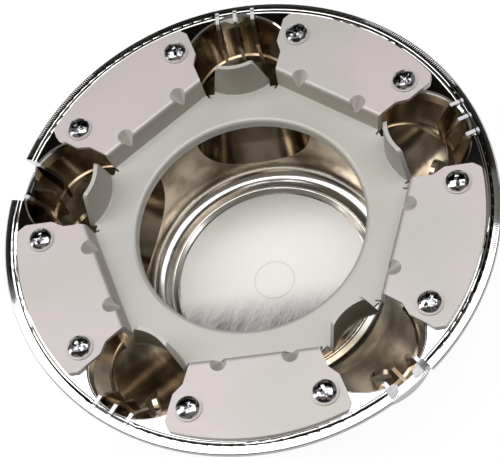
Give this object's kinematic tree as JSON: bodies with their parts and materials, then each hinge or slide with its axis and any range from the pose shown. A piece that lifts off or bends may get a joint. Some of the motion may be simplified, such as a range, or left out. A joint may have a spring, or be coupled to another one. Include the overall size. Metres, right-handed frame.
{
  "type": "wheel centre cap",
  "caption": "Round chromed wheel centre cap with a domed bowl, lug pockets and a screwed-on steel retainer with bent tabs, seen from its mounting side.",
  "frame": {"origin": "centre of the flat front face that the cap lies on", "axes": "+Z along the axle line, towards the mounting side; a lug pocket lies at +Y and a retainer tab at -Y"},
  "size_m": [0.186, 0.186, 0.0691],
  "materials": {
    "chrome_plate": "bright plated plastic, mirror-like, satin on the bowl's floor",
    "steel_sheet": "satin",
    "screw_steel": "bright zinc-plated"
  },
  "bodies": {
    "root": {"cap_body": "chrome_plate", "retainer": "steel_sheet", "screw_01": "screw_steel", "screw_02": "screw_steel", "screw_03": "screw_steel", "screw_04": "screw_steel", "screw_05": "screw_steel", "screw_06": "screw_steel", "screw_07": "screw_steel", "screw_08": "screw_steel", "screw_09": "screw_steel", "screw_10": "screw_steel"}
  },
  "joints": []
}
